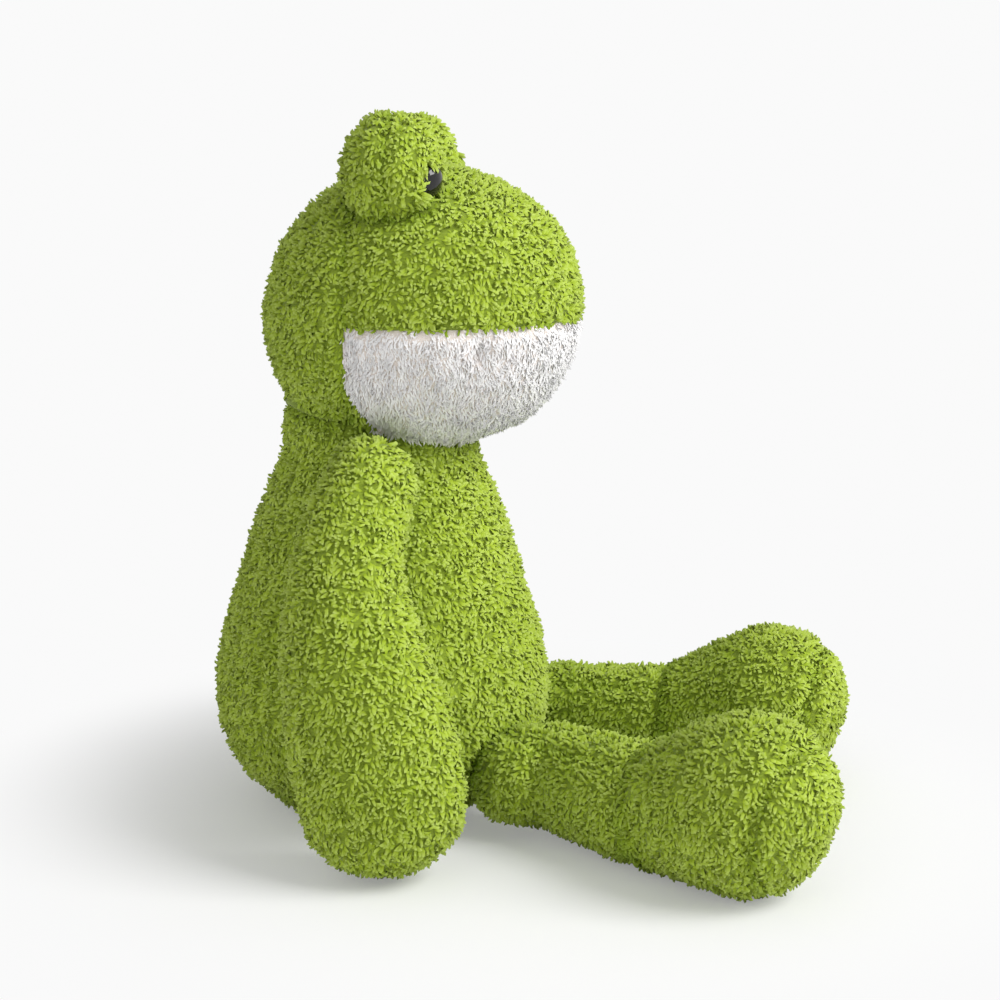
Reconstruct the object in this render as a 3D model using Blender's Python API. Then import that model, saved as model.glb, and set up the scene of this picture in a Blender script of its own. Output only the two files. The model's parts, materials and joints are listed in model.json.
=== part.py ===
# Seated plush frog made of sewn panels, stuffing, bead eyes and stitched-on limbs.
# Metres, +Z up. It faces -Y, its left is +X, and the origin is the middle of its flat seat.

from math import acos, cos, hypot, pi, radians, sin

import bmesh
import bpy
from mathutils import Matrix, Vector

MM = 0.001

# Fabric, seams and clearances
FABRIC = 3.0 * MM
SEAM = 0.3 * MM
FIT = 0.3 * MM
FLOOR_CUT = 0.5 * MM
CUTTER_SIZE = 600.0 * MM
KNOT_RADIUS = 1.8 * MM
# How deep a limb's round end sits in the torso's side, where its stitches draw it in
LIMB_DIMPLE = 2.0 * MM

# Torso
TORSO_RADIUS = 64.0 * MM
TORSO_SIDES = 20
NECK_HEIGHT = 138.0 * MM
NECK_RADIUS = 38.0 * MM
SEAT_SEAM_HEIGHT = 10.0 * MM
BEAN_BAG_HEIGHT = 34.0 * MM
# Height as a share of NECK_HEIGHT, radius as a share of TORSO_RADIUS
TORSO_SHARES = (
    (0.062, 0.77), (0.138, 0.90), (0.232, 0.98), (0.326, 1.0), (0.435, 0.973),
    (0.558, 0.905), (0.688, 0.82), (0.804, 0.74), (0.90, 0.66),
)
SEAT_RADIUS_SHARE = 0.56
NECK_BALL_ANGLES = (-6, 16, 38, 62)

# Head, set on the neck joint and measured from the torso's axis
HEAD_LIFT = 0.8 * MM
HEAD_HEIGHT = 101.7 * MM
HEAD_FRONT = 76.0 * MM
HEAD_BACK = 43.2 * MM
HEAD_HALF_WIDTH = 58.0 * MM
HEAD_SIDES = 20
HEAD_SEAM_BACK = 6.0 * MM
MOUTH_HEIGHT_SHARE = 0.447
# Height as a share of the head's height, then front, back and half width as shares of the same
HEAD_SHARES = (
    (0.01, 0.50, 0.0, 0.42), (0.071, 0.73, 0.55, 0.70), (0.17, 0.865, 0.81, 0.86),
    (0.30, 0.965, 0.95, 0.96), (0.447, 1.0, 1.0, 1.0), (0.56, 0.993, 0.96, 0.985),
    (0.69, 0.945, 0.85, 0.93), (0.82, 0.83, 0.65, 0.80), (0.925, 0.63, 0.34, 0.59),
    (0.985, 0.42, 0.02, 0.34),
)
HEAD_POLE_SHARE = 0.2

# Eye bumps on the head's top
BUMP_RADIUS = 18.0 * MM
BUMP_HALF_HEIGHT = 21.5 * MM
BUMP_SIDES = 12
BUMP_OUT = 34.0 * MM
BUMP_FORWARD = 9.1 * MM
BUMP_SINK = 3.0 * MM
BUMP_RING_ANGLES = (-60, -35, -12, 12, 35, 60)

# Bead eyes, each a dome on a flange with a stem and a lock washer
EYE_RADIUS = 6.0 * MM
EYE_DOME = 4.2 * MM
EYE_FLANGE = 1.0 * MM
EYE_STEM_RADIUS = 2.0 * MM
EYE_STEM_LENGTH = 11.0 * MM
EYE_SIDES = 16
EYE_DOME_ANGLES = (30, 60)
EYE_SINK = 1.2 * MM
EYE_OUT_ANGLE = 27
EYE_DOWN_ANGLE = 13
WASHER_RADIUS = 5.0 * MM
WASHER_THICKNESS = 1.6 * MM

# Arms: the route runs from the shoulder ball's centre to the hand's centre
SHOULDER_DROP = 7.0 * MM
SHOULDER_FORWARD = 3.5 * MM
SHOULDER_RADIUS = 16.8 * MM
HAND_RADIUS = 28.0 * MM
HAND_THICKNESS_SHARE = 0.77
ARM_FLARE = 31.5 * MM
ARM_REACH = 7.5 * MM
ARM_SIDES = 12
FLANK_CLEARANCE = 0.8 * MM
FLANK_SIDES = 24
FLANK_START_SHARE = 0.7
# The way that the arm swings is turned outwards by this angle, to pass beside the leg
SWING_TURN = 9
# Drop, flare and reach as shares of the route's, then how far the radius has grown to the hand's
ARM_SHARES = (
    (0.20, 0.38, -0.70, 0.13), (0.36, 0.60, -0.74, 0.32), (0.52, 0.80, -0.37, 0.57),
    (0.68, 0.94, 0.19, 0.83), (0.84, 1.0, 0.67, 0.97),
)

# Legs: a tapering tube from the hip ball to the ankle ball, lying on the floor
HIP_SPREAD = 40.0 * MM
HIP_HEIGHT = 27.0 * MM
HIP_RADIUS = 17.0 * MM
ANKLE_RADIUS = 22.5 * MM
LEG_LENGTH = 41.0 * MM
LEG_SIDES = 12
LEG_SHARES = ((0.35, 0.22), (0.70, 0.60))
RIGHT_LEG_SPLAY = 36
LEFT_LEG_SPLAY = -12

# Feet: bulbs in front of the ankle ball
FOOT_RADIUS = 32.0 * MM
FOOT_HALF_WIDTH_SHARE = 0.97
FOOT_LENGTH = 75.0 * MM
FOOT_SIDES = 12
FOOT_COLLAR = 4.2 * MM
SOLE_SEAM_SHARE = 0.80
SOLE_TILT = 10
# Distance ahead of the ankle as a share of FOOT_LENGTH, radius and rise as shares of FOOT_RADIUS
FOOT_SHARES = (
    (0.06, 0.74, 0.74), (0.14, 0.78, 0.78), (0.31, 0.90, 0.90), (0.53, 1.0, 1.0),
    (0.74, 0.945, 1.01), (0.88, 0.71, 1.07), (0.965, 0.36, 1.12),
)

# Rings that round off a limb's end, in degrees from its pole
END_RING_ANGLES = (28, 58)
BALL_CUTTER_SIDES = 24
# Keeps a ball's corners off the seams' planes
BALL_CUTTER_TURN = 4
SEARCH_STEPS = 30

GREEN_BACK = (0.18, 0.26, 0.03, 1.0)
GREEN_FRONT = (0.30, 0.42, 0.07, 1.0)
CREAM = (0.76, 0.72, 0.69, 1.0)
FILL_WHITE = (0.85, 0.85, 0.83, 1.0)
BAG_GREY = (0.55, 0.53, 0.48, 1.0)
EYE_BLACK = (0.006, 0.006, 0.008, 1.0)
WASHER_WHITE = (0.75, 0.75, 0.72, 1.0)
THREAD_GREEN = (0.16, 0.24, 0.03, 1.0)

LEFT = 1
RIGHT = -1
SIDE_NAMES = {LEFT: "left", RIGHT: "right"}


def start_scene():
    for old in list(bpy.data.objects):
        bpy.data.objects.remove(old)
    collections = {}
    for name in ("plush_frog", "cutters"):
        collections[name] = bpy.data.collections.new(name)
        bpy.context.scene.collection.children.link(collections[name])
    return collections["plush_frog"], collections["cutters"]


PARTS, CUTTERS = start_scene()


def material(name, colour, roughness):
    made = bpy.data.materials.new(name)
    made.use_nodes = True
    surface = made.node_tree.nodes["Principled BSDF"]
    surface.inputs["Base Color"].default_value = colour
    surface.inputs["Roughness"].default_value = roughness
    surface.inputs["Metallic"].default_value = 0.0
    return made


def add_object(name, mesh, collection):
    made = bpy.data.objects.new(name, mesh)
    collection.objects.link(made)
    return made


def add_part(name, mesh, colour, roughness, pivot=None):
    made = add_object(name, mesh, PARTS)
    made.data.materials.append(material(name, colour, roughness))
    made.data.shade_smooth()
    made.data.set_sharp_from_angle(angle=radians(50))
    if pivot:
        made.parent = pivot
        made.matrix_parent_inverse = Matrix.Translation(-pivot.location)
    return made


def add_pivot(name, place, parent=None):
    made = add_object(name, None, PARTS)
    made.location = place
    if parent:
        made.parent = parent
        made.matrix_parent_inverse = Matrix.Translation(-parent.location)
    return made


def add_cutter(name, mesh):
    made = add_object(name, mesh, CUTTERS)
    made.hide_render = True
    made.display_type = "WIRE"
    return made


def cut(piece, *cutters):
    for cutter in cutters:
        modifier = piece.modifiers.new("cut by " + cutter.name, "BOOLEAN")
        modifier.operation = "DIFFERENCE"
        modifier.solver = "EXACT"
        modifier.object = cutter


def form_mesh(name, stations, sides, depth=0):
    # A unit sphere whose poles and rings are laid on the stations, then moved inwards by depth
    bands = len(stations) - 1
    form = bmesh.new()
    bmesh.ops.create_uvsphere(form, u_segments=sides, v_segments=bands, radius=1)
    for point in form.verts:
        x, y, z = point.co
        ring = round(acos(max(-1, min(1, -z))) * bands / pi)
        centre, side, up = stations[ring]
        reach = hypot(x, y)
        if ring in (0, bands):
            point.co = centre
        else:
            point.co = centre + side * (x / reach) + up * (y / reach)
    if form.calc_volume(signed=True) < 0:
        bmesh.ops.reverse_faces(form, faces=form.faces)
    form.normal_update()
    if depth:
        moves = [(point, point.normal * point.calc_shell_factor() * depth) for point in form.verts]
        for point, move in moves:
            point.co -= move
    # Each face is split the same way at every depth, so that forms inside each other stay clear
    bmesh.ops.triangulate(form, faces=form.faces, quad_method="FIXED")
    mesh = bpy.data.meshes.new(name)
    form.to_mesh(mesh)
    form.free()
    return mesh


def skin_and_cavity(name, stations, sides):
    # The outer form that a piece's panels are cut from, and the room inside their fabric
    cavity = add_cutter(name + "_cavity", form_mesh(name + "_cavity", stations, sides, FABRIC))
    return form_mesh(name + "_skin", stations, sides), cavity


def flat_ring(centre, half_width, half_depth):
    return centre, Vector((half_width, 0, 0)), Vector((0, half_depth, 0))


def ball_cutter(name, centre, radius):
    # Its facets stay outside the true sphere
    outer = radius / cos(pi / BALL_CUTTER_SIDES) ** 2
    ball = bmesh.new()
    rings = BALL_CUTTER_SIDES // 2
    bmesh.ops.create_uvsphere(ball, u_segments=BALL_CUTTER_SIDES, v_segments=rings, radius=outer)
    bmesh.ops.rotate(ball, matrix=Matrix.Rotation(radians(BALL_CUTTER_TURN), 3, "Z"), verts=ball.verts)
    bmesh.ops.translate(ball, vec=centre, verts=ball.verts)
    mesh = bpy.data.meshes.new(name)
    ball.to_mesh(mesh)
    ball.free()
    return add_cutter(name, mesh)


def half_space(name, point, normal):
    # A block whose one face passes through the point, on the side that the normal shows
    block = bmesh.new()
    bmesh.ops.create_cube(block, size=CUTTER_SIZE)
    mesh = bpy.data.meshes.new(name)
    block.to_mesh(mesh)
    block.free()
    made = add_cutter(name, mesh)
    turn = Vector((0, 0, 1)).rotation_difference(normal)
    made.matrix_world = Matrix.Translation(point + normal * (CUTTER_SIZE / 2)) @ turn.to_matrix().to_4x4()
    return made


def seam_cutters(name, point, normal):
    # What lies ahead of the seam and what lies behind it, with the seam's gap between them
    normal = normal.normalized()
    ahead = half_space(name + "_ahead", point - normal * (SEAM / 2), normal)
    behind = half_space(name + "_behind", point + normal * (SEAM / 2), -normal)
    return ahead, behind


def channel_cutter(name, start, end, radius):
    tube = bmesh.new()
    along = end - start
    turn = Vector((0, 0, 1)).rotation_difference(along).to_matrix().to_4x4()
    place = Matrix.Translation((start + end) / 2) @ turn
    bmesh.ops.create_cone(
        tube, cap_ends=True, segments=EYE_SIDES, radius1=radius, radius2=radius,
        depth=along.length, matrix=place,
    )
    mesh = bpy.data.meshes.new(name)
    tube.to_mesh(mesh)
    tube.free()
    return add_cutter(name, mesh)


def add_knot(name, place, pivot):
    knot = bmesh.new()
    bmesh.ops.create_icosphere(knot, subdivisions=1, radius=KNOT_RADIUS, matrix=Matrix.Translation(place))
    mesh = bpy.data.meshes.new(name)
    knot.to_mesh(mesh)
    knot.free()
    return add_part(name, mesh, THREAD_GREEN, 0.8, pivot)


def cut_for_knot(filling, name, place, way_out):
    # The knot's seat in the stuffing, at the end of the channel that the needle left
    cut(filling, channel_cutter(name + "_seat", place - way_out.normalized() * (KNOT_RADIUS + FIT),
                                place + way_out, KNOT_RADIUS + FIT))


FLOOR = half_space("floor", Vector((0, 0, 0)), Vector((0, 0, -1)))


def torso_outline():
    # Radius and height from the floor up to the neck ball's last ring
    points = [(SEAT_RADIUS_SHARE * TORSO_RADIUS, -FLOOR_CUT)]
    points += [(radius * TORSO_RADIUS, height * NECK_HEIGHT) for height, radius in TORSO_SHARES]
    for angle in NECK_BALL_ANGLES:
        turn = radians(angle)
        points.append((NECK_RADIUS * cos(turn), NECK_HEIGHT + NECK_RADIUS * sin(turn)))
    return points


def torso_stations():
    rings = [flat_ring(Vector((0, 0, height)), radius, radius) for radius, height in torso_outline()]
    bottom = flat_ring(Vector((0, 0, -FLOOR_CUT)), 0, 0)
    top = flat_ring(Vector((0, 0, NECK_HEIGHT + NECK_RADIUS)), 0, 0)
    return [bottom] + rings + [top]


def distance_to_torso(radius, height):
    spot = Vector((radius, height))
    outline = [Vector(point) for point in torso_outline()]
    nearest = []
    for start, end in zip(outline, outline[1:]):
        along = end - start
        share = max(0, min(1, (spot - start).dot(along) / along.length_squared))
        nearest.append((spot - start - along * share).length)
    return min(nearest)


def width_at(height):
    for (start_radius, low), (end_radius, high) in zip(torso_outline(), torso_outline()[1:]):
        if low <= height <= high:
            return start_radius + (end_radius - start_radius) * (height - low) / (high - low)
    return 0


def stand_off(height, radius):
    # How far from the torso's axis a ball of this radius sinks into the torso by LIMB_DIMPLE
    near = TORSO_RADIUS / 2
    far = TORSO_RADIUS + radius + radius
    for step in range(SEARCH_STEPS):
        middle = (near + far) / 2
        outside = middle > width_at(height)
        if outside and distance_to_torso(middle, height) > radius - LIMB_DIMPLE:
            far = middle
        else:
            near = middle
    return far


def shoulder_place(side):
    height = NECK_HEIGHT - SHOULDER_DROP
    return Vector((side * stand_off(height, SHOULDER_RADIUS), -SHOULDER_FORWARD, height))


def hip_place(side):
    off = stand_off(HIP_HEIGHT, HIP_RADIUS)
    return Vector((side * HIP_SPREAD, -(off ** 2 - HIP_SPREAD ** 2) ** 0.5, HIP_HEIGHT))


def make_torso():
    stations = torso_stations()
    skin, cavity = skin_and_cavity("torso", stations, TORSO_SIDES)
    shoulders = {}
    hips = {}
    for side in (RIGHT, LEFT):
        name = SIDE_NAMES[side]
        shoulders[side] = ball_cutter("shoulder_dimple_" + name, shoulder_place(side), SHOULDER_RADIUS + FIT)
        hips[side] = ball_cutter("hip_dimple_" + name, hip_place(side), HIP_RADIUS + FIT)
    front, back = seam_cutters("torso_side_seam", Vector((0, 0, 0)), Vector((0, -1, 0)))
    right, left = seam_cutters("torso_back_seam", Vector((0, 0, 0)), Vector((-1, 0, 0)))
    below, above = seam_cutters("torso_seat_seam", Vector((0, 0, SEAT_SEAM_HEIGHT)), Vector((0, 0, -1)))
    for name, cutters, colour in (
        ("torso_front", (back, below, *shoulders.values(), *hips.values()), GREEN_FRONT),
        ("torso_back_right", (front, left, below, shoulders[RIGHT]), GREEN_BACK),
        ("torso_back_left", (front, right, below, shoulders[LEFT]), GREEN_BACK),
        ("seat_panel", (above, FLOOR), GREEN_BACK),
    ):
        panel = add_part(name, skin.copy(), colour, 0.9)
        cut(panel, *cutters[:2], cavity, *cutters[2:])
    inside = form_mesh("torso_inside", stations, TORSO_SIDES, FABRIC + FIT)
    over, under = seam_cutters("bean_bag_top", Vector((0, 0, BEAN_BAG_HEIGHT)), Vector((0, 0, 1)))
    cut(add_part("bean_bag", inside.copy(), BAG_GREY, 0.8), over)
    filling = add_part("torso_filling", inside, FILL_WHITE, 0.95)
    cut(filling, under)
    neck = Vector((0, 0, NECK_HEIGHT))
    cut_for_knot(filling, "neck_knot", neck, Vector((0, 0, NECK_RADIUS)))


def head_stations():
    bottom = NECK_HEIGHT + HEAD_LIFT
    middle = Vector((0, -HEAD_POLE_SHARE * HEAD_FRONT, bottom))
    rings = [flat_ring(middle, 0, 0)]
    for share, front, back, width in HEAD_SHARES:
        ahead = front * HEAD_FRONT
        behind = back * HEAD_BACK
        centre = Vector((0, (behind - ahead) / 2, bottom + share * HEAD_HEIGHT))
        rings.append(flat_ring(centre, width * HEAD_HALF_WIDTH, (behind + ahead) / 2))
    rings.append(flat_ring(middle + Vector((0, 0, HEAD_HEIGHT)), 0, 0))
    return rings


def make_head(pivot):
    stations = head_stations()
    skin, cavity = skin_and_cavity("head", stations, HEAD_SIDES)
    mouth_height = NECK_HEIGHT + HEAD_LIFT + MOUTH_HEIGHT_SHARE * HEAD_HEIGHT
    neck_ball = ball_cutter("neck_ball", Vector((0, 0, NECK_HEIGHT)), NECK_RADIUS + FIT)
    seam_point = Vector((0, HEAD_SEAM_BACK, 0))
    front, back = seam_cutters("head_side_seam", seam_point, Vector((0, -1, 0)))
    right, left = seam_cutters("head_back_seam", Vector((0, 0, 0)), Vector((-1, 0, 0)))
    over, under = seam_cutters("mouth_seam", Vector((0, 0, mouth_height)), Vector((0, 0, 1)))
    panels = {}
    for name, cutters, colour in (
        ("head_back_right", (front, left), GREEN_BACK),
        ("head_back_left", (front, right), GREEN_BACK),
        ("muzzle_top", (back, under), GREEN_FRONT),
        ("chin", (back, over), CREAM),
    ):
        panels[name] = add_part(name, skin.copy(), colour, 0.9, pivot)
        cut(panels[name], *cutters, cavity, neck_ball)
    filling = add_part(
        "head_filling", form_mesh("head_inside", stations, HEAD_SIDES, FABRIC + FIT), FILL_WHITE, 0.95, pivot
    )
    cut(filling, neck_ball)
    head_solid = add_cutter("head_solid", form_mesh("head_solid", stations, HEAD_SIDES, -FIT))
    return head_solid, (panels["muzzle_top"], filling)


def bump_stations(centre):
    rings = [flat_ring(centre - Vector((0, 0, BUMP_HALF_HEIGHT)), 0, 0)]
    for angle in BUMP_RING_ANGLES:
        turn = radians(angle)
        ring_radius = BUMP_RADIUS * cos(turn)
        rise = Vector((0, 0, BUMP_HALF_HEIGHT * sin(turn)))
        rings.append(flat_ring(centre + rise, ring_radius, ring_radius))
    rings.append(flat_ring(centre + Vector((0, 0, BUMP_HALF_HEIGHT)), 0, 0))
    return rings


def make_eye(side, centre, pivot):
    # Turned about its own axis, which leaves the bump's centre forwards, outwards and down
    name = SIDE_NAMES[side]
    out = radians(EYE_OUT_ANGLE)
    down = radians(EYE_DOWN_ANGLE)
    facing = Vector((side * sin(out) * cos(down), -cos(out) * cos(down), -sin(down)))
    seat_reach = BUMP_RADIUS - EYE_SINK
    seat = centre + facing * seat_reach
    turn = Vector((0, 0, 1)).rotation_difference(facing).to_matrix().to_4x4()
    place = Matrix.Translation(seat) @ turn
    stem_end = -EYE_STEM_LENGTH
    rings = [(0, stem_end), (EYE_STEM_RADIUS, stem_end), (EYE_STEM_RADIUS, 0), (EYE_RADIUS, 0),
             (EYE_RADIUS, EYE_FLANGE)]
    for angle in EYE_DOME_ANGLES:
        turn_up = radians(angle)
        rings.append((EYE_RADIUS * cos(turn_up), EYE_FLANGE + EYE_DOME * sin(turn_up)))
    rings.append((0, EYE_FLANGE + EYE_DOME))
    stations = [flat_ring(Vector((0, 0, height)), radius, radius) for radius, height in rings]
    bead = form_mesh("eye_" + name, stations, EYE_SIDES)
    bead.transform(place)
    add_part("eye_" + name, bead, EYE_BLACK, 0.06, pivot)

    # The washer's front rim just clears the facets of the fabric's inner face
    facet = cos(pi / BUMP_SIDES) ** 2
    washer_reach = (((BUMP_RADIUS - FABRIC) * facet - FIT) ** 2 - WASHER_RADIUS ** 2) ** 0.5
    washer_middle = centre + facing * (washer_reach - WASHER_THICKNESS / 2)
    ring = bmesh.new()
    bmesh.ops.create_cone(
        ring, cap_ends=True, segments=EYE_SIDES, radius1=WASHER_RADIUS, radius2=WASHER_RADIUS,
        depth=WASHER_THICKNESS, matrix=Matrix.Translation(washer_middle) @ turn,
    )
    mesh = bpy.data.meshes.new("eye_washer_" + name)
    ring.to_mesh(mesh)
    ring.free()
    washer = add_part("eye_washer_" + name, mesh, WASHER_WHITE, 0.4, pivot)

    outside = centre + facing * (BUMP_RADIUS + EYE_RADIUS)
    stem_tip = seat + facing * (stem_end - FIT)
    stem_hole = channel_cutter("stem_hole_" + name, outside, stem_tip, EYE_STEM_RADIUS + FIT)
    cut(washer, stem_hole)
    flange_seat = channel_cutter("flange_seat_" + name, outside, seat - facing * FIT, EYE_RADIUS + FIT)
    washer_back = centre + facing * (washer_reach - WASHER_THICKNESS - FIT)
    washer_seat = channel_cutter("washer_seat_" + name, outside, washer_back, WASHER_RADIUS + FIT)
    return stem_hole, flange_seat, washer_seat


def make_bump(side, head_solid, under_eye, pivot):
    name = SIDE_NAMES[side]
    height = NECK_HEIGHT + HEAD_LIFT + HEAD_HEIGHT - BUMP_SINK
    centre = Vector((side * BUMP_OUT, -BUMP_FORWARD, height))
    stations = bump_stations(centre)
    stem_hole, flange_seat, washer_seat = make_eye(side, centre, pivot)
    front, back = seam_cutters("bump_seam_" + name, centre, Vector((0, -1, 0)))
    skin, cavity = skin_and_cavity("bump_" + name, stations, BUMP_SIDES)
    for panel_name, cutters in (("front", (back, stem_hole, flange_seat)), ("back", (front,))):
        panel = add_part("eye_bump_" + name + "_" + panel_name, skin.copy(), GREEN_BACK, 0.9, pivot)
        cut(panel, cavity, head_solid, *cutters)
    inside = form_mesh("bump_inside_" + name, stations, BUMP_SIDES, FABRIC + FIT)
    filling = add_part("eye_bump_" + name + "_filling", inside, FILL_WHITE, 0.95, pivot)
    cut(filling, head_solid, washer_seat, stem_hole)
    for piece in under_eye:
        cut(piece, flange_seat, washer_seat)


def tube_ring(centre, along, across, half_width, half_height):
    # The ring stands square to the way along, with its width as near as can be to across
    side = (across - along * across.dot(along)).normalized()
    up = side.cross(along)
    return centre, side * half_width, up * half_height


def limb_stations(route, sizes, across):
    # Round ends about the route's first and last points, and a ring at each point between them
    ways = [(after - before).normalized() for before, after in zip(route, route[1:])]
    first_way = ways[0]
    last_way = ways[-1]
    middles = [(before + after).normalized() for before, after in zip(ways, ways[1:])]
    turns = [first_way] + middles + [last_way]
    start_width, start_height = sizes[0]
    end_width, end_height = sizes[-1]
    rings = [(route[0] - first_way * start_height, Vector(), Vector())]
    for angle in END_RING_ANGLES:
        turn = radians(angle)
        centre = route[0] - first_way * (start_height * cos(turn))
        rings.append(tube_ring(centre, first_way, across, start_width * sin(turn), start_height * sin(turn)))
    for point, way, (width, height) in zip(route, turns, sizes):
        rings.append(tube_ring(point, way, across, width, height))
    for angle in reversed(END_RING_ANGLES):
        turn = radians(angle)
        centre = route[-1] + last_way * (end_height * cos(turn))
        rings.append(tube_ring(centre, last_way, across, end_width * sin(turn), end_height * sin(turn)))
    rings.append((route[-1] + last_way * end_height, Vector(), Vector()))
    return rings


def flank_cutter(name, side, shoulder):
    # The room that the torso's flank sweeps about the shoulder's swing axis, around the round end
    turn = radians(SWING_TURN)
    axis = Vector((side * cos(turn), sin(turn), 0))
    across = axis.cross(Vector((0, 0, 1)))
    foot_of_axis = shoulder - axis * shoulder.dot(axis)
    start = SHOULDER_RADIUS * FLANK_START_SHARE
    heights = [height for radius, height in torso_outline() if 0 < height < shoulder.z - start]
    reach = 0
    profile = []
    for height in [shoulder.z - start] + sorted(heights, reverse=True):
        reach = max(reach, width_at(height) + FLANK_CLEARANCE)
        profile.append((shoulder.z - height, reach))
    rim = shoulder.z + TORSO_RADIUS
    profile += [(rim, reach), (rim, 0)]
    clear_of_ball = shoulder.dot(axis) - SHOULDER_RADIUS - FABRIC
    stations = [(foot_of_axis + axis * clear_of_ball, Vector(), Vector())]
    for drop, out in profile:
        stations.append((foot_of_axis + axis * out, across * drop, Vector((0, 0, drop))))
    stations.append((foot_of_axis, Vector(), Vector()))
    return add_cutter(name, form_mesh(name, stations, FLANK_SIDES))


def make_arm(side):
    name = SIDE_NAMES[side]
    shoulder = shoulder_place(side)
    hand_height = HAND_RADIUS - FLOOR_CUT
    drop = shoulder.z - hand_height
    route = [shoulder]
    sizes = [(SHOULDER_RADIUS, SHOULDER_RADIUS)]
    for down, out, ahead, growth in ARM_SHARES:
        route.append(shoulder + Vector((side * out * ARM_FLARE, -ahead * ARM_REACH, -down * drop)))
        radius = SHOULDER_RADIUS + growth * (HAND_RADIUS - SHOULDER_RADIUS)
        thickness = 1 + growth * (HAND_THICKNESS_SHARE - 1)
        sizes.append((radius, radius * thickness))
    hand = shoulder + Vector((side * ARM_FLARE, -ARM_REACH, -drop))
    route.append(hand)
    sizes.append((HAND_RADIUS, HAND_RADIUS * HAND_THICKNESS_SHARE))
    stations = limb_stations(route, sizes, Vector((0, 1, 0)))
    flank = flank_cutter("flank_" + name, side, shoulder)

    knot_pivot = add_pivot("shoulder_swing_" + name, shoulder)
    pivot = add_pivot("shoulder_raise_" + name, shoulder, knot_pivot)
    add_knot("shoulder_knot_" + name, shoulder, knot_pivot)
    along = hand - shoulder
    inwards = along.cross(Vector((0, -side, 0)))
    within, beyond = seam_cutters("arm_seam_" + name, shoulder, inwards)
    skin, cavity = skin_and_cavity("arm_" + name, stations, ARM_SIDES)
    for panel_name, cutter in (("inner", beyond), ("outer", within)):
        panel = add_part("arm_" + name + "_" + panel_name, skin.copy(), GREEN_FRONT, 0.9, pivot)
        cut(panel, cavity, flank, cutter, FLOOR)
    inside = form_mesh("arm_inside_" + name, stations, ARM_SIDES, FABRIC + FIT)
    filling = add_part("arm_" + name + "_filling", inside, FILL_WHITE, 0.95, pivot)
    cut(filling, flank)
    cut_for_knot(filling, "shoulder_knot_" + name, shoulder, Vector((-side * SHOULDER_RADIUS, 0, 0)))


def make_foot(name, ankle, forward, pivot):
    reach = forward * FOOT_LENGTH
    across = forward.cross(Vector((0, 0, 1)))
    ankle_floor = Vector((ankle.x, ankle.y, -FLOOR_CUT))
    centres = []
    for share, radius, rise in FOOT_SHARES:
        centre = ankle_floor + reach * share + Vector((0, 0, rise * FOOT_RADIUS))
        size = radius * FOOT_RADIUS
        centres.append(tube_ring(centre, forward, across, size * FOOT_HALF_WIDTH_SHARE, size))
    heel = ankle + forward * FOOT_COLLAR
    toe = centres[-1][0] + reach * (1 - FOOT_SHARES[-1][0])
    stations = [(heel, Vector(), Vector())] + centres + [(toe, Vector(), Vector())]
    ball = ball_cutter("ankle_ball_" + name, ankle, ANKLE_RADIUS + FIT)
    tilt = radians(SOLE_TILT)
    facing = forward * cos(tilt) - Vector((0, 0, sin(tilt)))
    seam_point = ankle_floor + reach * SOLE_SEAM_SHARE + Vector((0, 0, FOOT_RADIUS))
    ahead, behind = seam_cutters("sole_seam_" + name, seam_point, facing)
    skin, cavity = skin_and_cavity("foot_" + name, stations, FOOT_SIDES)
    for panel_name, cutters in (("upper", (ball, ahead, FLOOR)), ("sole", (behind, FLOOR))):
        panel = add_part("foot_" + name + "_" + panel_name, skin.copy(), GREEN_FRONT, 0.9, pivot)
        cut(panel, cavity, *cutters)
    inside = form_mesh("foot_inside_" + name, stations, FOOT_SIDES, FABRIC + FIT)
    filling = add_part("foot_" + name + "_filling", inside, FILL_WHITE, 0.95, pivot)
    cut(filling, ball)


def make_leg(side, splay):
    name = SIDE_NAMES[side]
    ankle_height = ANKLE_RADIUS - FLOOR_CUT
    hip = hip_place(side)
    turn = radians(splay)
    forward = Vector((side * sin(turn), -cos(turn), 0))
    rise = Vector((0, 0, ankle_height - HIP_HEIGHT))
    ankle = hip + forward * LEG_LENGTH + rise
    route = [hip]
    sizes = [(HIP_RADIUS, HIP_RADIUS)]
    for share, growth in LEG_SHARES:
        radius = HIP_RADIUS + growth * (ANKLE_RADIUS - HIP_RADIUS)
        route.append(hip + forward * (share * LEG_LENGTH) + rise * growth)
        sizes.append((radius, radius))
    route.append(ankle)
    sizes.append((ANKLE_RADIUS, ANKLE_RADIUS))
    stations = limb_stations(route, sizes, forward.cross(Vector((0, 0, 1))))

    knot_pivot = add_pivot("hip_spread_" + name, hip)
    pivot = add_pivot("hip_lift_" + name, hip, knot_pivot)
    add_knot("hip_knot_" + name, hip, knot_pivot)
    inwards = forward.cross(Vector((0, 0, side)))
    within, beyond = seam_cutters("leg_seam_" + name, hip, inwards)
    skin, cavity = skin_and_cavity("leg_" + name, stations, LEG_SIDES)
    for panel_name, cutter in (("inner", beyond), ("outer", within)):
        panel = add_part("leg_" + name + "_" + panel_name, skin.copy(), GREEN_BACK, 0.9, pivot)
        cut(panel, cutter, cavity, FLOOR)
    inside = form_mesh("leg_inside_" + name, stations, LEG_SIDES, FABRIC + FIT)
    filling = add_part("leg_" + name + "_filling", inside, FILL_WHITE, 0.95, pivot)
    cut_for_knot(filling, "hip_knot_" + name, hip, -forward * HIP_RADIUS)
    ankle_pivot = add_pivot("ankle_" + name, ankle, pivot)
    make_foot(name, ankle, forward, ankle_pivot)


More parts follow.
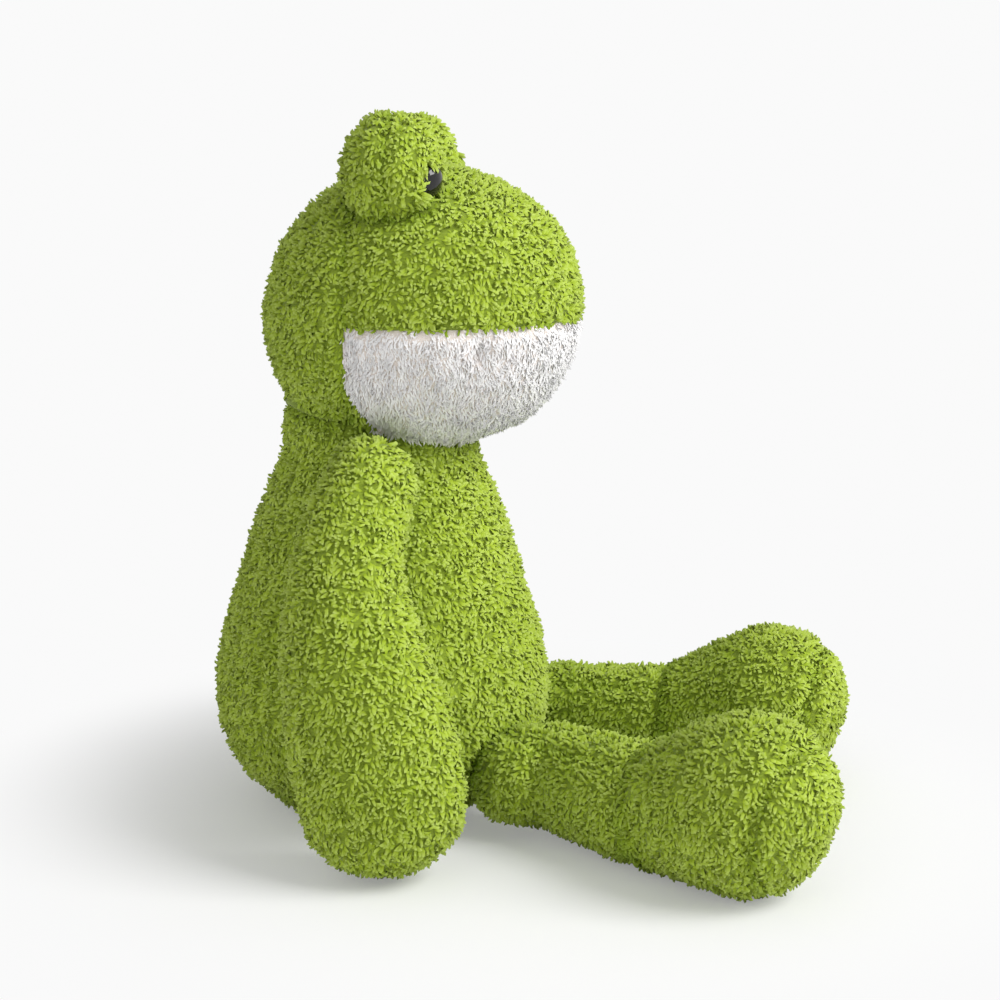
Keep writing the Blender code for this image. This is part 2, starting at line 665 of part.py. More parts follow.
def main():
    make_torso()
    neck = Vector((0, 0, NECK_HEIGHT))
    turn_pivot = add_pivot("neck_turn", neck)
    nod_pivot = add_pivot("neck_nod", neck, turn_pivot)
    add_knot("neck_knot", neck, turn_pivot)
    head_solid, under_eye = make_head(nod_pivot)
    for side in (RIGHT, LEFT):
        make_bump(side, head_solid, under_eye, nod_pivot)
        make_arm(side)
    make_leg(RIGHT, RIGHT_LEG_SPLAY)
    make_leg(LEFT, LEFT_LEG_SPLAY)


main()
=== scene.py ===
# Seated plush frog: curly pile cloth over stuffed forms, bead eyes and stitched-on limbs.
# Metres, +Z up. It faces -Y and its left is +X.
import json
from math import ceil, cos, pi, radians, sin

import bmesh
import bpy
import numpy as np
from mathutils import Matrix, Vector, kdtree, noise
from mathutils.bvhtree import BVHTree


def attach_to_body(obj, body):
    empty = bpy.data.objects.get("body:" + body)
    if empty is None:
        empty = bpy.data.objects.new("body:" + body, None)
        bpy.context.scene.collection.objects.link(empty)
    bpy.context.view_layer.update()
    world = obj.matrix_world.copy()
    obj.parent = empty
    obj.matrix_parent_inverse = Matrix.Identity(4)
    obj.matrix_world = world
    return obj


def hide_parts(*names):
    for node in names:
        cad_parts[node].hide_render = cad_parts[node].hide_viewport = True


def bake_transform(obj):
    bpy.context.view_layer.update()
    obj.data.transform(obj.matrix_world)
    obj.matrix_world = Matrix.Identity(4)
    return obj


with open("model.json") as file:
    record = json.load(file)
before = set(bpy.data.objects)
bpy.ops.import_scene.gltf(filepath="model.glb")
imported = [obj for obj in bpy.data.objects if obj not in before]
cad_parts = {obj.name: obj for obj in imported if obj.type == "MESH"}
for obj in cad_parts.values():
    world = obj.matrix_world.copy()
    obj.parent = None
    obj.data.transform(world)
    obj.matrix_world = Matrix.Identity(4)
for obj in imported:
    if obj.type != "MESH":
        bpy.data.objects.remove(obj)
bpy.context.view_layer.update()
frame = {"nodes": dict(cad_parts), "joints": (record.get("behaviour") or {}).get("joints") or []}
mm = 0.001
up = Vector((0, 0, 1))
scene = bpy.context.scene
hinges = {joint["name"]: Vector(joint["pos_m"]) for joint in frame["joints"]}
print("frame loaded,", len(frame["nodes"]), "nodes")

# Camera: seen from the toy's right side, a little above it
view = {"azimuth": -86, "elevation": 11, "distance": 0.700, "lens": 67.2, "target": (0.0031, -0.0445, 0.115)}


def addCamera():
    turn = radians(view["azimuth"])
    tilt = radians(view["elevation"])
    lookWay = Vector((-sin(turn) * cos(tilt), cos(turn) * cos(tilt), -sin(tilt)))
    lens = bpy.data.cameras.new("photoCamera")
    lens.lens = view["lens"]
    lens.sensor_width = 36
    camera = bpy.data.objects.new("photoCamera", lens)
    scene.collection.objects.link(camera)
    camera.location = Vector(view["target"]) - lookWay * view["distance"]
    camera.rotation_euler = (pi / 2 - tilt, 0, turn)
    scene.camera = camera


addCamera()


class Wire:
    # A shader value or colour that formulas can be written with

    def __init__(self, tree, socket=None):
        self.tree = tree
        self.socket = socket

    def node(self, kind, settings, values, output=0):
        made = self.tree.nodes.new(kind)
        for name, value in settings.items():
            if name == "stops":
                stops = made.color_ramp.elements
                while len(stops) < len(value):
                    stops.new(1.0)
                for stop, (place, colour) in zip(stops, value):
                    stop.position = place
                    stop.color = (*colour, 1)
            else:
                setattr(made, name, value)
        for name, value in values.items():
            if isinstance(value, Wire):
                self.tree.links.new(value.socket, made.inputs[name])
            else:
                made.inputs[name].default_value = value
        return Wire(self.tree, made.outputs[output])

    def maths(self, operation, first, second=0.0):
        return self.node("ShaderNodeMath", {"operation": operation}, {0: first, 1: second})

    def largest(self, other):
        return self.maths("MAXIMUM", self, other)

    def __add__(self, other):
        return self.maths("ADD", self, other)

    __radd__ = __add__

    def __sub__(self, other):
        return self.maths("SUBTRACT", self, other)

    def __rsub__(self, other):
        return self.maths("SUBTRACT", other, self)

    def __mul__(self, other):
        return self.maths("MULTIPLY", self, other)

    __rmul__ = __mul__

    def ramp(self, *stops):
        return self.node("ShaderNodeValToRGB", {"stops": stops}, {"Fac": self})

    def mix(self, blendType, first, second):
        # This value is the factor between two colours
        return self.node("ShaderNodeMix", {"data_type": "RGBA", "blend_type": blendType},
                         {0: self, 6: first, 7: second}, 2)

    def bump(self, strength, depth):
        return self.node("ShaderNodeBump", {}, {"Height": self, "Strength": strength, "Distance": depth})


def newMaterial(name, **constants):
    made = bpy.data.materials.new(name)
    made.use_nodes = True
    surface = made.node_tree.nodes["Principled BSDF"]
    for socket, value in constants.items():
        surface.inputs[socket.replace("_", " ")].default_value = value
    return made, Wire(made.node_tree), surface


def feed(surface, **wires):
    for socket, wire in wires.items():
        wire.tree.links.new(wire.socket, surface.inputs[socket.replace("_", " ")])


def pileMaterial(name, look):
    # Across the map runs from a lock's root to its tip, and up it the lock's tone, darkened by painted shade
    # near other forms and along seams
    made, start, surface = newMaterial(name, Roughness=look["roughness"], Sheen_Weight=look["sheen"],
                                       Specular_IOR_Level=0.05)
    spot = start.node("ShaderNodeUVMap", {"uv_map": "OFBake"}, {})
    along = start.node("ShaderNodeSeparateXYZ", {}, {"Vector": spot}, 0)
    shade = start.node("ShaderNodeSeparateXYZ", {}, {"Vector": spot}, 1)
    streakSpot = start.node("ShaderNodeMapping", {}, {"Vector": spot, "Scale": (5, 300, 1)})
    streak = start.node("ShaderNodeTexNoise", {"noise_dimensions": "2D"},
                        {"Vector": streakSpot, "Scale": 1.0, "Detail": 2.0})
    # The colour darkens towards the root as painted shade deep in the pile and lightens towards the tip as
    # painted light; the second ramp adds random tone and painted shade
    height = along + 0.30 * (streak - 0.5) + look["tipShift"] * (shade - 0.65)
    colour = height.ramp(*look["stops"])
    toneAndShade = shade.ramp(*look["toneAndShadeTints"])
    feed(surface, Base_Color=start.node("ShaderNodeMix", {"data_type": "RGBA", "blend_type": "MULTIPLY"},
                                        {0: 1.0, 6: colour, 7: toneAndShade}, 2))
    return made


def knitMaterial(name, look):
    # The knitted backing between the roots, coloured darker than the pile as painted shade in the gaps between
    # locks
    made, start, surface = newMaterial(name, Roughness=0.95, Sheen_Weight=0.2)
    spot = start.node("ShaderNodeTexCoord", {}, {}, 3)
    rows = start.node("ShaderNodeTexWave", {"bands_direction": "Z"},
                      {"Vector": spot, "Scale": 320.0, "Distortion": 3.0, "Detail": 2.0,
                       "Detail Scale": 2.0}, 1)
    fuzz = start.node("ShaderNodeTexNoise", {}, {"Vector": spot, "Scale": 900.0, "Detail": 3.0})
    height = 0.2 * rows + 0.8 * fuzz
    colour = height.ramp(*look["stops"])
    feed(surface, Base_Color=colour, Normal=height.bump(0.6, 0.0004))
    return made


def stuffingMaterial():
    made, start, surface = newMaterial("whiteStuffing", Roughness=1.0, Sheen_Weight=0.3)
    spot = start.node("ShaderNodeTexCoord", {}, {}, 3)
    tufts = start.node("ShaderNodeTexNoise", {}, {"Vector": spot, "Scale": 120.0, "Detail": 4.0})
    fibres = start.node("ShaderNodeTexNoise", {},
                        {"Vector": spot, "Scale": 900.0, "Detail": 4.0, "Distortion": 1.5})
    height = 0.7 * tufts + 0.3 * fibres
    feed(surface, Base_Color=height.ramp((0.3, (0.62, 0.61, 0.58)), (0.7, (0.88, 0.87, 0.85))),
         Normal=height.bump(0.8, 0.001))
    return made


def wovenMaterial():
    made, start, surface = newMaterial("beanBagCloth", Roughness=0.85, Sheen_Weight=0.1)
    spot = start.node("ShaderNodeTexCoord", {}, {}, 3)
    warp = start.node("ShaderNodeTexWave", {"bands_direction": "X"}, {"Vector": spot, "Scale": 250.0}, 1)
    weft = start.node("ShaderNodeTexWave", {"bands_direction": "Y"}, {"Vector": spot, "Scale": 250.0}, 1)
    beads = start.node("ShaderNodeTexVoronoi", {}, {"Vector": spot, "Scale": 260.0}, 0)
    height = 0.5 * warp + 0.5 * weft - 0.6 * beads
    feed(surface, Base_Color=height.ramp((0.0, (0.34, 0.32, 0.28)), (0.8, (0.60, 0.57, 0.51))),
         Normal=height.bump(0.7, 0.0008))
    return made


def threadMaterial():
    made, start, surface = newMaterial("greenThread", Roughness=0.6, Sheen_Weight=0.2)
    spot = start.node("ShaderNodeTexCoord", {}, {}, 3)
    twist = start.node("ShaderNodeTexWave", {"bands_direction": "DIAGONAL"},
                       {"Vector": spot, "Scale": 700.0, "Distortion": 2.0}, 1)
    feed(surface, Base_Color=twist.ramp((0.2, (0.06, 0.10, 0.01)), (0.8, (0.20, 0.30, 0.04))),
         Normal=twist.bump(0.8, 0.0003))
    return made


def washerMaterial():
    made, start, surface = newMaterial("washerPlastic", Roughness=0.4)
    spot = start.node("ShaderNodeTexCoord", {}, {}, 3)
    haze = start.node("ShaderNodeTexNoise", {}, {"Vector": spot, "Scale": 400.0, "Detail": 3.0})
    feed(surface, Base_Color=haze.ramp((0.3, (0.66, 0.66, 0.62)), (0.7, (0.78, 0.78, 0.75))),
         Roughness=0.3 + 0.3 * haze)
    return made


def beadMaterial():
    made, start, surface = newMaterial("eyeBead", Coat_Weight=1.0, Coat_Roughness=0.03, Specular_IOR_Level=0.0)
    spot = start.node("ShaderNodeTexCoord", {}, {}, 3)
    wear = start.node("ShaderNodeTexNoise", {}, {"Vector": spot, "Scale": 700.0, "Detail": 4.0})
    feed(surface, Base_Color=wear.ramp((0.3, (0.004, 0.004, 0.005)), (0.8, (0.014, 0.013, 0.012))),
         Roughness=0.06 + 0.12 * wear)
    return made


# Stops run dark at the root as painted shade deep in the pile and light at the tip as painted light; the tints
# give random tone and darken shaded locks as painted shade
greenLook = {
    "roughness": 0.9, "sheen": 0.02, "tipShift": 0.15,
    "stops": ((0.0, (0.300, 0.410, 0.022)), (0.35, (0.375, 0.500, 0.042)),
              (0.70, (0.440, 0.570, 0.090)), (1.0, (0.505, 0.630, 0.160))),
    "toneAndShadeTints": ((0.0, (0.30, 0.38, 0.17)), (0.30, (0.78, 0.82, 0.64)),
              (0.65, (0.98, 0.98, 0.95)), (1.0, (1.0, 1.0, 1.0))),
}
# Cream locks likewise: painted shade at the root, painted light at the tip, painted shade in the tints
creamLook = {
    "roughness": 0.9, "sheen": 0.02, "tipShift": 0.1,
    "stops": ((0.0, (0.95, 0.92, 0.91)), (0.45, (0.98, 0.97, 0.97)), (1.0, (0.99, 0.98, 0.98))),
    "toneAndShadeTints": ((0.0, (0.78, 0.71, 0.66)), (0.30, (0.97, 0.95, 0.94)),
              (0.65, (1.0, 1.0, 1.0)), (1.0, (1.0, 1.0, 1.0))),
}
greenPile = pileMaterial("greenPile", greenLook)
creamPile = pileMaterial("creamPile", creamLook)
# Each knit is darker than its pile: painted shade between the locks, and for the cream a brownish painted shade
# under the lip
greenKnit = knitMaterial("greenKnit", {"stops": ((0.2, (0.170, 0.240, 0.012)), (0.9, (0.260, 0.350, 0.020)))})
creamKnit = knitMaterial("creamKnit", {"stops": ((0.2, (0.68, 0.60, 0.54)), (0.9, (0.82, 0.75, 0.70)))})
stuffing = stuffingMaterial()
beanCloth = wovenMaterial()
thread = threadMaterial()
washerPlastic = washerMaterial()
eyeBead = beadMaterial()
print("materials made")

# How the cloth lies on the forms
cloth = {
    "pile": 2.6 * mm, "thickness": 0.8 * mm, "stuffingDepth": 4.2 * mm, "clearance": 1.2 * mm,
    "floorGap": 0.3 * mm, "lumps": 0.7 * mm, "lumpSizes": (16 * mm, 7 * mm), "gatherSize": 4.5 * mm,
    "fade": 3 * mm,
}


def smoothStations(stations, step):
    # A smooth run through the rings, carried on past each pole so that the ends come out round
    rows = np.array([[*centre, *side, *rise] for centre, side, rise in stations])
    turned = np.array([1, 1, 1, -1, -1, -1, -1, -1, -1])
    rows = np.vstack([rows[1] * turned, rows, rows[-2] * turned])
    shares = np.array([1, 1, 1, 0.5, 0.5, 0.5, 0.5, 0.5, 0.5])
    gaps = np.sqrt((np.diff(rows, axis=0) ** 2 * shares).sum(1))
    slopes = np.diff(rows, axis=0) / gaps[:, None]
    before, after = gaps[:-1, None], gaps[1:, None]
    tangents = (slopes[:-1] * after + slopes[1:] * before) / (before + after)
    rows, gaps = rows[1:-1], gaps[1:-1]
    reach = np.concatenate([[0], np.cumsum(gaps)])
    places = np.linspace(0, reach[-1], ceil(reach[-1] / step) + 1)
    part = np.clip(np.searchsorted(reach, places, side="right") - 1, 0, len(gaps) - 1)
    share = ((places - reach[part]) / gaps[part])[:, None]
    gap = gaps[part][:, None]
    start, end = rows[part], rows[part + 1]
    smooth = ((1 + 2 * share) * (1 - share) ** 2 * start + share ** 2 * (3 - 2 * share) * end
              + gap * share * (1 - share) ** 2 * tangents[part]
              - gap * share ** 2 * (1 - share) * tangents[part + 1])
    return [(Vector(row[:3]), Vector(row[3:6]), Vector(row[6:])) for row in smooth]


def softForm(stations, depth, seams=(), cups=(), lumps=1.0, sides=96, step=2.6 * mm):
    # A closed form through the rings, drawn in by depth, with its seams pulled in and its cups pressed in
    rings = smoothStations(stations, step)
    form = bmesh.new()
    turns = [2 * pi * number / sides for number in range(sides)]
    loops = [[form.verts.new(centre + side * cos(turn) + rise * sin(turn)) for turn in turns]
             for centre, side, rise in rings[1:-1]]
    for lower, higher in zip(loops, loops[1:]):
        for number in range(sides):
            form.faces.new((lower[number - 1], lower[number], higher[number], higher[number - 1]))
    for (centre, side, rise), loop, order in ((rings[0], loops[0], -1), (rings[-1], loops[-1], 1)):
        pole = form.verts.new(centre)
        for number in range(sides):
            form.faces.new((loop[number - 1], loop[number], pole)[::order])
    if form.calc_volume(signed=True) < 0:
        bmesh.ops.reverse_faces(form, faces=form.faces)
    form.normal_update()
    broad, fine = cloth["lumpSizes"]
    moves = []
    for point in form.verts:
        swell = noise.noise(point.co / broad) + 0.5 * noise.noise(point.co / fine)
        pull = sum(seamPull(point.co, seam) for seam in seams)
        moves.append(point.normal * (lumps * cloth["lumps"] * swell - depth - pull))
    for point, move in zip(form.verts, moves):
        point.co += move
    for centre, radius in cups:
        for point in form.verts:
            away = point.co - centre
            if away.length < radius:
                point.co = centre + away.normalized() * radius
    lowest = cloth["floorGap"] + (depth - cloth["pile"])
    for point in form.verts:
        point.co.z = max(point.co.z, lowest)
    form.normal_update()
    return form


def seamPull(point, seam):
    # How far a seam draws the cloth in at this point, with small gathers along it
    off = abs((point - seam["point"]).dot(seam["normal"]))
    share = seam.get("depth", 1.6 * mm) * np.exp(-(off / seam.get("reach", 2.6 * mm)) ** 2)
    gathers = 1 + 0.45 * noise.noise(point / cloth["gatherSize"] + Vector((7, 3, 1)))
    for start, way in seam.get("within", ()):
        share *= max(0, min(1, (point - start).dot(way) / cloth["fade"]))
    return share * gathers


def halfOf(form, *planes):
    # What is left of a form in front of each plane
    part = form.copy()
    for point, normal in planes:
        bmesh.ops.bisect_plane(part, geom=part.verts[:] + part.edges[:] + part.faces[:], dist=1e-7,
                               plane_co=point, plane_no=-normal, clear_outer=True)
    return part


def regionOf(form, cuts, keeps):
    # A form cut along each plane, less the faces whose middle the rule doesn't keep
    part = form.copy()
    for point, normal in cuts:
        bmesh.ops.bisect_plane(part, geom=part.verts[:] + part.edges[:] + part.faces[:], dist=1e-7,
                               plane_co=point, plane_no=normal)
    lost = [face for face in part.faces if not keeps(face.calc_center_median())]
    bmesh.ops.delete(part, geom=lost, context="FACES")
    return part


def attach(piece, body):
    # Rides on one body; a leg piece given a hip only has its transform applied where it stands. The rear end of
    # a leg is sewn in under the torso and doesn't lift with the rest
    if isinstance(body, str):
        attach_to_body(piece, body)
    else:
        knot, limb, hip, forward = body
        tuple(hip - forward * 8 * mm)
        tuple(hip + forward * 16 * mm)
        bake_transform(piece)


def addPiece(name, form, material, body):
    mesh = bpy.data.meshes.new(name)
    form.to_mesh(mesh)
    mesh.shade_smooth()
    mesh.materials.append(material)
    piece = bpy.data.objects.new(name, mesh)
    scene.collection.objects.link(piece)
    attach(piece, body)
    return piece


coats = {
    "green": {
        "pile": greenPile, "knit": greenKnit, "slot": "green_pile", "spacing": 1.05 * mm, "length": 3.1 * mm,
        "width": 0.52 * mm, "down": 0.65, "stray": 0.9, "clumpStray": 0.75, "clump": 0.2, "clumpSize": 2.4 * mm,
        "bend": 1.5, "softness": 0.8,
    },
    "cream": {
        "pile": creamPile, "knit": creamKnit, "slot": "cream_pile", "spacing": 0.66 * mm, "length": 2.9 * mm,
        "width": 0.32 * mm, "down": 1.2, "stray": 0.4, "clumpStray": 0.4, "clump": 0.1, "clumpSize": 2.6 * mm,
        "bend": 0.9, "softness": 1.0,
    },
}

# Locks stand in the skin at rootDepth. Beyond sight a neighbour doesn't matter, within clear of one none grow,
# and the nearer it is, the shorter they are and the darker their painted shade.
growth = {
    "kinds": 8, "rootDepth": 0.35 * mm, "sight": 8 * mm, "clear": 0.3 * mm, "shortest": 2.4 * mm,
    "creviceShadeReach": 6.5 * mm, "patch": 13 * mm, "seamShadeWidth": 1.3 * mm, "cupEdge": 0.05 * mm, "cupLean": 3.5 * mm,
    "bareLean": 4 * mm, "doubled": 0.35, "scatter": 0.35 * mm, "lowest": 0.2 * mm,
}


def unit(rows):
    return rows / np.linalg.norm(rows, axis=-1, keepdims=True)


def lockTemplates(radii, bend, seed):
    # Curled locks, fullest near the tip: each corner's place along the middle, its way off it, the way
    # that it faces and its height
    chance = np.random.default_rng(seed)
    made = []
    for number in range(growth["kinds"]):
        lock = bmesh.new()
        bmesh.ops.create_cone(lock, cap_ends=False, segments=3, radius1=1, radius2=0, depth=1,
                              matrix=Matrix.Translation((0, 0, 0.5)))
        bmesh.ops.remove_doubles(lock, verts=lock.verts, dist=0.001)
        for height in list(radii)[1:-1]:
            bmesh.ops.bisect_plane(lock, geom=lock.verts[:] + lock.edges[:] + lock.faces[:], dist=1e-5,
                                   plane_co=(0, 0, height), plane_no=(0, 0, 1))
        bmesh.ops.triangulate(lock, faces=lock.faces)
        lock.verts.index_update()
        heights = np.array([round(point.co.z, 2) for point in lock.verts])
        sides = np.array([[point.co.x, point.co.y] for point in lock.verts])
        widths = np.array([radii[height] for height in heights])
        sides *= widths[:, None] / np.maximum(1 - heights, 0.01)[:, None]
        faces = np.array([[point.index for point in face.verts] for face in lock.faces])
        lock.free()
        swing = bend * chance.uniform(0.6, 1.4)
        turn = swing * heights
        middle = np.stack([(1 - np.cos(turn)) / swing, chance.uniform(-0.3, 0.3) * heights ** 2,
                           np.sin(turn) / swing], 1)
        off = np.stack([sides[:, 0] * np.cos(turn), sides[:, 1], -sides[:, 0] * np.sin(turn)], 1)
        outwards = np.stack([np.sin(turn), 0 * turn, np.cos(turn)], 1)
        outwards[heights < 1] = unit(off[heights < 1])
        made.append((middle, off, outwards, heights, faces))
    return made


def treeOf(points):
    tree = kdtree.KDTree(len(points))
    for index, point in enumerate(points):
        tree.insert(point, index)
    tree.balance()
    return tree


def thinOut(points, gap):
    # Which points are left when each clears the room around it
    tree = treeOf(points)
    free = np.ones(len(points), bool)
    kept = []
    for index, point in enumerate(points):
        if free[index]:
            kept.append(index)
            for found in tree.find_range(point, gap):
                free[found[1]] = False
    return kept


def scatterRoots(skin, spacing, chance):
    # Even but unruly roots over a skin, and the way that the skin faces at each
    mesh = bpy.data.meshes.new("roots")
    skin.to_mesh(mesh)
    mesh.calc_loop_triangles()
    corners = np.zeros(len(mesh.loop_triangles) * 3, np.int32)
    mesh.loop_triangles.foreach_get("vertices", corners)
    spots = np.zeros(len(mesh.vertices) * 3, np.float32)
    mesh.vertices.foreach_get("co", spots)
    ways = np.zeros(len(mesh.vertices) * 3, np.float32)
    mesh.vertices.foreach_get("normal", ways)
    bpy.data.meshes.remove(mesh)
    a, b, c = corners.reshape(-1, 3).T
    spots, ways = spots.reshape(-1, 3).astype(float), ways.reshape(-1, 3).astype(float)
    area = np.linalg.norm(np.cross(spots[b] - spots[a], spots[c] - spots[a]), axis=1) / 2
    count = int(area.sum() / spacing ** 2 * 4)
    pick = chance.choice(len(area), count, p=area / area.sum())
    first, second = np.sqrt(chance.random(count))[:, None], chance.random(count)[:, None]
    shares = (1 - first, first * (1 - second), first * second)
    roots = sum(spots[corner[pick]] * share for corner, share in zip((a, b, c), shares))
    facing = unit(sum(ways[corner[pick]] * share for corner, share in zip((a, b, c), shares)))
    kept = thinOut(roots, spacing)
    return roots[kept], facing[kept]


def depthOutside(point, tree, reach):
    # How far a point stands outside a form, below nothing where it is inside, or the reach where it is far
    spot, normal, face, gap = tree.find_nearest(point, reach)
    if spot is None:
        return reach
    away = Vector(point) - spot
    outside = max(away.dot(found[1]) for found in tree.find_nearest_range(point, gap + 0.05 * mm))
    return gap if outside >= 0 else -gap


def clumpsOf(roots, size):
    # Gathers the roots about centres that stand a clump apart, and returns the clump of each
    tree = treeOf(roots[thinOut(roots, size)])
    return np.array([tree.find(root)[1] for root in roots])


def seamShadeShare(spots, seam):
    # How near each spot is to a seam, 1 on it: the mask for the painted shade along seams
    off = (spots - np.array(seam["point"])) @ np.array(seam["normal"])
    share = np.exp(-(off / growth["seamShadeWidth"]) ** 2)
    for start, way in seam.get("within", ()):
        share *= np.clip((spots - np.array(start)) @ np.array(way) / cloth["fade"], 0, 1)
    return share


def leanAtRims(roots, cups, bareAxes):
    # No lock grows in a cup or on a bare spot, and round either they lean over its rim
    grows = np.ones(len(roots), bool)
    lean = np.zeros(roots.shape)
    for centre, radius in cups:
        off = roots - np.array(centre)
        gap = np.linalg.norm(off, axis=1)
        grows &= gap > radius + growth["cupEdge"]
        lean -= 0.7 * off / gap[:, None] * np.clip(1 - (gap - radius) / growth["cupLean"], 0, 1)[:, None]
    for centre, way, radius in bareAxes:
        off = roots - np.array(centre)
        ahead = off @ np.array(way)
        off -= ahead[:, None] * np.array(way)
        gap = np.linalg.norm(off, axis=1)
        grows &= (ahead < 0) | (gap > radius)
        near = np.where(ahead > 0, np.clip(1 - (gap - radius) / growth["bareLean"], 0, 1), 0)
        lean -= off / gap[:, None] * near[:, None]
    return grows, lean


def lockToneAndPaintedShade(roots, room, group, seams, chance):
    # Each lock's tone: patchy at random, with painted shade where another form is near and along each seam
    shade = np.array([noise.noise(Vector(root) / growth["patch"]) for root in roots])
    shade = (0.65 + 0.20 * shade + 0.07 * chance.normal(size=group.max() + 1)[group]
             + 0.09 * chance.normal(size=len(roots)))
    # Painted shade: darker the nearer another form is
    shade = np.clip(shade, 0.3, 1) * np.clip(0.1 + room / growth["creviceShadeReach"], 0, 1)
    # Painted shade along each seam
    for seam in seams:
        shade *= 1 - 0.6 * seamShadeShare(roots, seam)
    return shade


def growPile(name, skin, coat, body, neighbours, seams, cups, bareAxes=(), whole=False):
    chance = np.random.default_rng(sum(map(ord, name)))
    roots, facing = scatterRoots(skin, coat["spacing"], chance)
    room = np.array([min(depthOutside(root, tree, growth["sight"]) for tree in neighbours) for root in roots])
    grows, lean = leanAtRims(roots, cups, bareAxes)
    # A piece that moves out of its neighbours is covered all over, and by a rim there are twice as many
    stays = grows & ((room > growth["clear"]) | whole)
    room = np.abs(room)
    near = np.linalg.norm(lean, axis=1)
    picked = np.concatenate([np.flatnonzero(stays), np.flatnonzero(stays & (near > growth["doubled"]))])
    roots, facing, room, lean = roots[picked], facing[picked], room[picked], lean[picked]
    count = len(roots)
    roots[stays.sum():] += growth["scatter"] * chance.normal(size=(count - stays.sum(), 3))

    # Locks lean downwards and astray in clumps, and each clump's tips are drawn together
    group = clumpsOf(roots, coat["clumpSize"])
    clumps = group.max() + 1
    down = np.array([0, 0, -1.0]) + facing * facing[:, 2:3]
    length = coat["length"] * chance.uniform(0.75, 1.2, count)
    length = np.minimum(length, np.maximum(1.4 * room, growth["shortest"]))
    astray = coat["clumpStray"] * unit(chance.normal(size=(clumps, 3)))[group]
    astray += coat["stray"] * chance.normal(size=(count, 3)) * 0.6
    near = np.minimum(np.linalg.norm(lean, axis=1), 1)[:, None]
    astray = astray * (1 - 0.6 * near) + 0.25 * lean
    length *= 1 + 0.6 * near[:, 0]
    way = facing + coat["down"] * down * (1 - 0.7 * near) + astray - facing * (astray * facing).sum(1)[:, None]
    tips = roots + unit(way) * length[:, None]
    centres = np.zeros((clumps, 3))
    np.add.at(centres, group, tips)
    centres /= np.bincount(group)[:, None]
    tips += (centres[group] - tips) * (coat["clump"] * chance.uniform(0.5, 1.4, (count, 1)))
    rise = unit(tips - roots)
    ahead = coat["down"] * down + unit(chance.normal(size=(clumps, 3)))[group]
    ahead += 0.5 * chance.normal(size=(count, 3))
    ahead += 1.2 * lean
    ahead = unit(ahead - rise * (ahead * rise).sum(1)[:, None])
    across = np.cross(rise, ahead)
    width = coat["width"] * chance.uniform(0.75, 1.25, count)
    # Each lock's tone with its painted shade
    shade = lockToneAndPaintedShade(roots, room, group, seams, chance)

    # Each root takes one of the templates
    spots, facings, faces, maps = [], [], [], []
    start = 0
    kind = chance.integers(0, growth["kinds"], count)
    for number, (middle, off, outwards, heights, corners) in enumerate(coat["locks"]):
        mine = kind == number
        axes = np.stack([ahead[mine], across[mine], rise[mine]], 1)
        grown = np.einsum("vk,nkc->nvc", middle, axes) * length[mine][:, None, None]
        grown += np.einsum("vk,nkc->nvc", off, axes) * width[mine][:, None, None]
        grown += (roots[mine] - facing[mine] * growth["rootDepth"])[:, None, :]
        spots.append(grown.reshape(-1, 3))
        lit = coat["softness"] * facing[mine][:, None, :]
        lit = lit + (1 - coat["softness"]) * np.einsum("vk,nkc->nvc", outwards, axes)
        facings.append(unit(lit).reshape(-1, 3))
        total = int(mine.sum())
        faces.append((corners[None] + (np.arange(total) * len(middle))[:, None, None] + start).reshape(-1, 3))
        start += total * len(middle)
        # Every face keeps a little width on the map
        along = 0.02 + 0.96 * heights[corners]
        along[np.ptp(along, axis=1) < 0.001, 2] += 0.015
        height = (0.02 + 0.96 * shade[mine])[:, None, None] + np.array([-0.008, 0.008, 0])
        height = np.broadcast_to(height, (total, *corners.shape))
        maps.append(np.stack([np.broadcast_to(along, height.shape), height], -1).reshape(-1, 2))
    spots = np.concatenate(spots)
    spots[:, 2] = np.maximum(spots[:, 2], growth["lowest"])
    mesh = bpy.data.meshes.new(name)
    mesh.from_pydata(spots, [], np.concatenate(faces))
    mesh.uv_layers.new(name="OFBake").data.foreach_set("uv", np.concatenate(maps).astype(np.float32).ravel())
    mesh.shade_smooth()
    # Light falls on the locks as on soft cloth, partly by the way that the skin faces
    mesh.normals_split_custom_set_from_vertices(np.concatenate(facings))
    mesh.materials.append(coat["pile"])
    pile = bpy.data.objects.new(name, mesh)
    scene.collection.objects.link(pile)
    attach(pile, body)
    return count


def sewPanel(node, shape, skin, coat, body, neighbours, bareAxes=(), whole=False):
    stations, seams, cups = shapes[shape]
    locks = growPile(node + "_pile", skin, coat, body, neighbours, seams, cups, bareAxes, whole)
    piece = addPiece(node + "_cloth", skin, coat["knit"], body)
    wall = piece.modifiers.new("wall", "SOLIDIFY")
    wall.thickness = cloth["thickness"]
    wall.offset = -1
    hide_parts(node)
    print("sewn", node, locks, "locks")


def stuff(node, shape, body, planes=(), material=stuffing):
    stations, seams, cups = shapes[shape]
    deeper = cloth["stuffingDepth"] - cloth["pile"]
    cups = [(centre, radius + deeper) for centre, radius in cups]
    filling = softForm(stations, cloth["stuffingDepth"], seams, cups, sides=64, step=4 * mm)
    if planes:
        filling = halfOf(filling, *planes)
        bmesh.ops.holes_fill(filling, edges=filling.edges)
    for point in filling.verts:
        spot, normal, face, gap = trees[shape].find_nearest(point.co)
        if (point.co - spot).dot(normal) > -cloth["clearance"]:
            point.co = spot - normal * cloth["clearance"]
    piece = addPiece(node + "_wad", filling, material, body)
    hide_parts(node)


def flatRing(centre, halfWidth, halfDepth):
    return centre, Vector((halfWidth, 0, 0)), Vector((0, halfDepth, 0))


